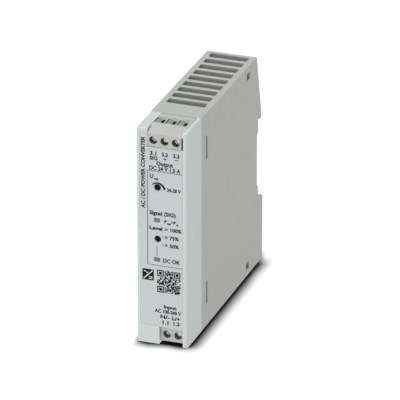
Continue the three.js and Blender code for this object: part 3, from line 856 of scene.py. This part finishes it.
def funnel(bm, terminal, x):
    """The mouth of a wire entry. Its left wall leans in further than the others."""
    back = terminal["recess"]
    outer = rounded(rectangle(about(x, MOUTH_X), about(back, MOUTH_Y)), 0.3, 3)
    inner = rounded(rectangle(about(x, SHAFT_X), about(back, SHAFT_Y)), 0.3, 3)
    over = [(2 * a - c, 2 * b - d) for (a, b), (c, d) in zip(outer, inner)]
    reach = 1.5
    levels = [terminal_heights(terminal, -reach), terminal_heights(terminal, reach)]
    prism(bm, over, levels, "plan", far_outline=inner)


def wire_shaft(bm, terminal, x):
    """Below the mouth the entry is open towards the rear."""
    levels = sorted(terminal_heights(terminal, z) for z in (1.4, 3.2))
    box(bm, about(x, SHAFT_X), (SHAFT_Y[0] + terminal["recess"], BLOCK_BACK - 0.6), levels)


def build_block(side, terminal):
    """The block's form with its rooms, screw holes and wire entries cut out."""
    recess, drop, poles = terminal["recess"], terminal["drop"], terminal["poles"]
    outline = block_outline(terminal)
    block = solid_of(side + "_block", lambda bm: prism(bm, outline, terminal["x"], "side"))

    def rooms(bm):
        for x in poles:
            levels = sorted(terminal_heights(terminal, z - drop) for z in (1.9, 15.5))
            box(bm, span(x, 2.3), (2.75 + recess, BLOCK_BACK - 0.6), levels)

    def screw_holes(bm):
        for x in poles:
            hole = circle(SCREW_HOLE, (x, terminal["screw_z"]))
            prism(bm, hole, (recess - 1.4, recess + 0.8), "front")

    def screw_chambers(bm):
        for x in poles:
            chamber = circle(SCREW_CHAMBER, (x, terminal["screw_z"]))
            prism(bm, chamber, (recess + 0.65, recess + 2.9), "front")

    def slits(bm):
        levels = sorted(terminal_heights(terminal, z) for z in (-1, 2.2))
        for x in poles:
            box(bm, about(x, SLIT_X), about(recess, SLIT_Y), levels)

    def side_groove(bm):
        """A rebate down the right of the upper block's front face, wider inside than at the face."""
        depth, ceiling = 2.6, HEIGHT - 2.6
        box(bm, (8.6, HALF), (-1, depth), (TOP_NOTCH, ceiling))
        box(bm, (8.3, HALF), (0.3, depth), (TOP_NOTCH - 3, ceiling))

    cut(block, rooms)
    if terminal["top"]:
        cut(block, side_groove)
    cut(block, screw_chambers)
    cut(block, screw_holes)
    for x in poles:
        cut(block, lambda bm: funnel(bm, terminal, x))
    cut(block, lambda bm: [wire_shaft(bm, terminal, x) for x in poles])
    cut(block, slits)
    finish_piece(
        block, TERMINAL_GREY, replaces=[side + "_terminal_block"], edge=0.12
    )


def screw_profile():
    """Half section from the slotted head's crown to the tip, its thread drawn as turned rings."""
    crown = [(0, 1.65), (0.9, 1.69), (1.3, 1.82), (1.52, 2.0), (1.6, 2.2), (1.6, 2.4), (1.5, 2.5)]
    shank, pitch, depth, rings = 1.2, 0.5, 0.16, 10
    thread = [(shank, 2.5)]
    for i in range(rings):
        y = 2.75 + i * pitch
        thread += [(shank - depth, y), (shank, y + pitch * 0.35), (shank, y + pitch * 0.5)]
    return crown + thread + [(0.95, 7.9), (0, 8.0)]


def build_screw(side, number, terminal, x, angle):
    place = (x, terminal["recess"], terminal["screw_z"])
    name = f"{side}_screw_{number}"
    slot_width, slot_bottom = 0.68, 2.3
    screw = solid_of(name, lambda bm: lathe(bm, screw_profile()))
    cut(screw, lambda bm: box(bm, span(0, 2.5), (-1, slot_bottom), span(0, slot_width / 2)))
    turn = Matrix.Rotation(math.radians(angle), 4, "Y")
    screw.data.transform(Matrix.Translation(place) @ turn)
    node = f"{side}_clamp_screw_{number}"
    finish_piece(screw, ZINC, body=node, replaces=[node], edge=0.05)


def build_terminals():
    for side, terminal in TERMINALS.items():
        build_block(side, terminal)
        for i, (x, angle) in enumerate(zip(terminal["poles"], terminal["slots"]), 1):
            build_screw(side, i, terminal, x, angle)


# ------------------------------------------------------------------ controls on the front
ROTOR_SLOT_Y = (1, 2.6)


def build_rotor(name, z, slot_shape):
    """A round rotor, chamfered at its front, with the driver's slot cut into it."""
    radius, front, back, chamfer = 1.5, 1.85, 4.6, 0.1
    profile = [(0, front), (radius - chamfer, front), (radius, front + chamfer), (radius, back), (0, back)]
    rotor = solid_of(name, lambda bm: lathe(bm, profile, (CONTROL_X, 0, z)))
    cut(rotor, slot_shape)
    return rotor


def build_controls():
    trimmer = build_rotor(
        "potentiometer_dial",
        POTENTIOMETER_Z,
        lambda bm: box(bm, span(CONTROL_X, 1.6), ROTOR_SLOT_Y, span(POTENTIOMETER_Z, 0.28)),
    )
    dark = moulded("dark_plastic", srgb(16, 17, 18), 0.7, edge_highlight=0.04)
    finish_piece(trimmer, dark, "potentiometer_rotor", ["potentiometer_rotor"], 0.05)
    arrow = [
        (-0.95, -0.25), (0.2, -0.25), (0.2, -0.7), (1.05, 0), (0.2, 0.7), (0.2, 0.25), (-0.95, 0.25),
    ]
    arrow = [(CONTROL_X + a, SELECTOR_Z + b) for a, b in arrow]
    selector = build_rotor("selector_dial", SELECTOR_Z, lambda bm: prism(bm, arrow, ROTOR_SLOT_Y, "front"))
    finish_piece(selector, dark, "selector_switch_rotor", ["selector_switch_rotor"], 0.05)


# ------------------------------------------------------------------ latch
def build_latch():
    (y0, y1), (z0, z1) = LATCH_Y, LATCH_Z
    lip = [(y0, z1 - 3.4), (y1, z1 - 3.4), (y1, z1 - 1.6), (y0 + 0.9, z1), (y0, z1)]
    latch = solid_of("latch_slider", lambda bm: box(bm, span(0, LATCH_HALF), LATCH_Y, (z0, z1 - 3)))
    join(latch, lambda bm: prism(bm, lip, span(0, LATCH_HALF), "side"))

    def windows(bm):
        box(bm, span(0, 1.9), (y0 - 1, y1 + 1), (10.6, 26))
        box(bm, span(0, 2.6), (y0 - 1, y1 + 1), (5.4, 7.4))

    def grooves(bm):
        for i in range(4):
            box(bm, span(0, 3.6), (y1 - 0.35, y1 + 1), (27.2 + 1.1 * i, 27.7 + 1.1 * i))

    cut(latch, windows)
    cut(latch, grooves)
    finish_piece(latch, LATCH_GREY, "rail_latch", ["rail_latch"], 0.15)


def build_spring():
    """A wound wire with closed ends, wound up from its foot."""
    radius, wire, turns = 1.05, 0.2, 9
    low, high, y = SPRING_FOOT, 25.95, 92.6
    steps, sides = turns * 24, 10
    closed = 1.2  # turns at each end that touch their neighbours
    bm = bmesh.new()
    rings = []
    pitch_span = high - low - 2 * wire - 4 * wire * closed
    for i in range(steps + 1):
        turn = turns * i / steps
        rise = 2 * wire * min(turn, closed)
        rise += pitch_span * min(max((turn - closed) / (turns - 2 * closed), 0), 1)
        rise += 2 * wire * max(0, turn - (turns - closed))
        angle = 2 * math.pi * turn
        outward = Vector((math.cos(angle), math.sin(angle), 0))
        centre = Vector((0, y, low + wire + rise)) + outward * radius
        ring = []
        for k in range(sides):
            a = 2 * math.pi * k / sides
            arm = outward * math.cos(a) + Vector((0, 0, 1)) * math.sin(a)
            ring.append(bm.verts.new(centre + arm * wire))
        rings.append(ring)
    for near, far in zip(rings, rings[1:]):
        for k in range(sides):
            bm.faces.new((near[k], near[(k + 1) % sides], far[(k + 1) % sides], far[k]))
    bm.faces.new(rings[0])
    bm.faces.new(list(reversed(rings[-1])))
    bmesh.ops.recalc_face_normals(bm, faces=bm.faces)
    spring = mesh_object("latch_coil", bm)
    for polygon in spring.data.polygons:
        polygon.use_smooth = True
    finish_piece(spring, SPRING_STEEL, replaces=["latch_spring"])
    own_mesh(spring)


# ------------------------------------------------------------------ inside: CAD nodes with their finishes
def inner_materials():
    return {
        "tinned_copper": metal("tinned_copper", srgb(204, 190, 166), 0.35),
        "zinc_steel": ZINC,
        "board_laminate": moulded("board_laminate", srgb(44, 104, 70), 0.35, 0.3, 0.06),
        "insulating_film": moulded("insulating_film", srgb(216, 210, 182), 0.35, 0.2),
        "black_epoxy": moulded("black_epoxy", srgb(38, 39, 41), 0.5, 0.8),
        "brown_moulding": moulded("brown_moulding", srgb(92, 60, 46), 0.45),
        "green_coating": moulded("green_coating", srgb(52, 84, 66), 0.45, 0.8, 0.05),
        "blue_coating": moulded("blue_coating", srgb(48, 84, 150), 0.3, 0.3),
        "yellow_box": moulded("yellow_box", srgb(206, 166, 66), 0.35, 0.3),
        "copper_winding": metal("copper_winding", srgb(176, 104, 56), 0.32, (1, 6, 1)),
        "aluminium_can": moulded("aluminium_can", srgb(40, 46, 72), 0.28, 0.2),
        "aluminium_sheet": metal("aluminium_sheet", srgb(196, 198, 200), 0.35, (1, 1, 8)),
        "ferrite": moulded("ferrite", srgb(60, 60, 62), 0.6, 1.0, 0.05),
        "winding_tape": moulded("winding_tape", srgb(218, 186, 84), 0.3, 0.2, 0.03),
        "white_plastic": moulded("white_epoxy", srgb(226, 227, 224), 0.45),
        "blue_plastic": moulded("blue_plastic", srgb(46, 78, 138), 0.45),
        "led_lens": moulded("led_lens", srgb(150, 200, 160), 0.15, 0.1),
        "light_pipe_plastic": LIGHT_PIPE,
        "terminal_plastic": TERMINAL_GREY,
    }


def finish_inside():
    finishes = inner_materials()
    slots = {row["node"]: row["material_slot"] for row in frame["record"]["subparts"]}
    for name, node in frame["nodes"].items():
        if node.hide_render:
            continue
        material = finishes[slots[name]]
        node.data.materials.clear()
        node.data.materials.append(material)
        weld = node.modifiers.new("weld", "WELD")
        weld.merge_threshold = 1e-6
        bevel = node.modifiers.new("rounded_edges", "BEVEL")
        bevel.width = 0.12 * MM
        bevel.segments = 2
        bevel.limit_method = "ANGLE"
        bevel.angle_limit = math.radians(40)


# ------------------------------------------------------------------ studio
CAMERA_AT = (0.5959, -1.6504, 0.8482)
CAMERA_AIM = (-0.0002, -0.0008, 0.0469)
CAMERA_LENS = 405.2
FLOOR_GLOW = 1.0
FLOOR_BOUNCE = 0.08
# the floor's contact shadow is painted shade in its glow, not a cast shadow
PAINTED_SHADOW_REACH = 7.5  # mm of floor over which a contact darkens it
PAINTED_SHADOW_DARKEST, PAINTED_SHADOW_FALLOFF = 0.57, 1.3


def look_at(obj, target):
    obj.rotation_euler = (Vector(target) - obj.location).to_track_quat("-Z", "Y").to_euler()


def build_camera():
    data = bpy.data.cameras.new("camera")
    data.lens = CAMERA_LENS
    data.sensor_width = 36.0
    data.clip_start = 0.05
    data.clip_end = 60.0
    camera = bpy.data.objects.new("camera", data)
    camera.location = CAMERA_AT
    SCENE.collection.objects.link(camera)
    look_at(camera, CAMERA_AIM)
    SCENE.camera = camera


def build_floor():
    """A pale, evenly glowing floor with a contact shadow painted into its glow close to what stands on it.

    The painted shadow is seen by the camera only, and is left out at the object's left, the light's side,
    and behind its rear right corner.
    """
    bm = bmesh.new()
    bmesh.ops.create_grid(bm, x_segments=2, y_segments=2, size=8)
    floor = mesh_object("floor", bm)
    material = bpy.data.materials.new("floor")
    material.use_nodes = True
    nodes, links = material.node_tree.nodes, material.node_tree.links
    shader = nodes["Principled BSDF"]
    shader.inputs["Roughness"].default_value = 0.9
    shader.inputs["Specular IOR Level"].default_value = 0.1
    shader.inputs["Emission Strength"].default_value = FLOOR_GLOW
    contact = nodes.new("ShaderNodeAmbientOcclusion")
    contact.samples = 16
    contact.inputs["Distance"].default_value = PAINTED_SHADOW_REACH * MM
    clear = nodes.new("ShaderNodeMapRange")
    clear.inputs["From Min"].default_value = PAINTED_SHADOW_DARKEST
    fade = nodes.new("ShaderNodeMath")
    fade.operation = "POWER"
    fade.inputs[1].default_value = PAINTED_SHADOW_FALLOFF
    seen = nodes.new("ShaderNodeLightPath")
    glow = nodes.new("ShaderNodeMix")
    glow.inputs["A"].default_value = 1.0
    lit_side = nodes.new("ShaderNodeMix")
    lit_side.inputs["B"].default_value = 1.0
    place = nodes.new("ShaderNodeTexCoord")
    split = nodes.new("ShaderNodeSeparateXYZ")

    def faded(axis, start, end):
        """0 up to start and 1 beyond end, in millimetres along an axis of the floor."""
        node = nodes.new("ShaderNodeMapRange")
        node.inputs["From Min"].default_value = start * MM
        node.inputs["From Max"].default_value = end * MM
        links.new(split.outputs[axis], node.inputs["Value"])
        return node.outputs["Result"]

    rear_corner = nodes.new("ShaderNodeMath")
    rear_corner.operation = "MULTIPLY"
    lit = nodes.new("ShaderNodeMath")
    lit.operation = "MAXIMUM"
    # painted contact shadow: the glow darkened where nearby things hide the sky, for camera rays only
    links.new(contact.outputs["AO"], clear.inputs["Value"])
    links.new(clear.outputs["Result"], fade.inputs[0])
    links.new(seen.outputs["Is Camera Ray"], glow.inputs["Factor"])
    links.new(fade.outputs["Value"], lit_side.inputs["A"])
    links.new(place.outputs["Object"], split.inputs[0])
    links.new(faded("X", HALF - 1.5, HALF + 2), rear_corner.inputs[0])
    links.new(faded("Y", DEPTH / 2 - 7, DEPTH / 2 + 2), rear_corner.inputs[1])
    links.new(faded("X", -HALF + 0.5, -HALF - 2.5), lit.inputs[0])
    links.new(rear_corner.outputs["Value"], lit.inputs[1])
    links.new(lit.outputs["Value"], lit_side.inputs["Factor"])
    links.new(lit_side.outputs["Result"], glow.inputs["B"])
    links.new(glow.outputs["Result"], shader.inputs["Emission Color"])
    bounce = nodes.new("ShaderNodeMath")
    bounce.operation = "MULTIPLY"
    bounce.inputs[1].default_value = FLOOR_BOUNCE
    links.new(glow.outputs["Result"], bounce.inputs[0])
    links.new(bounce.outputs["Value"], shader.inputs["Base Color"])
    floor.data.materials.append(material)


def sun(name, azimuth, elevation, softness, strength):
    """A distant soft light, its angles in degrees. Azimuth 0 is in front of the object, 90 at its right."""
    data = bpy.data.lights.new(name, "SUN")
    data.energy = strength
    data.angle = math.radians(softness)
    light = bpy.data.objects.new(name, data)
    a, e = math.radians(azimuth), math.radians(elevation)
    light.location = (math.sin(a) * math.cos(e), -math.cos(a) * math.cos(e), math.sin(e))
    SCENE.collection.objects.link(light)
    look_at(light, (0, 0, 0))


def build_lights():
    world = bpy.data.worlds.new("world")
    SCENE.world = world
    world.use_nodes = True
    world.node_tree.nodes["Background"].inputs["Color"].default_value = (1, 1, 1, 1)
    world.node_tree.nodes["Background"].inputs["Strength"].default_value = 0.358
    sun("overhead", -70, 82, 14, 2.14)
    sun("front", -15, 15, 60, 0.98)
    SCENE.view_settings.view_transform = "Standard"
    SCENE.view_settings.look = "None"


build_camera()
build_lights()
build_floor()
build_housing()
build_cover()
build_label()
build_print()
build_terminals()
build_controls()
build_latch()
build_spring()
finish_inside()

bpy.context.view_layer.update()
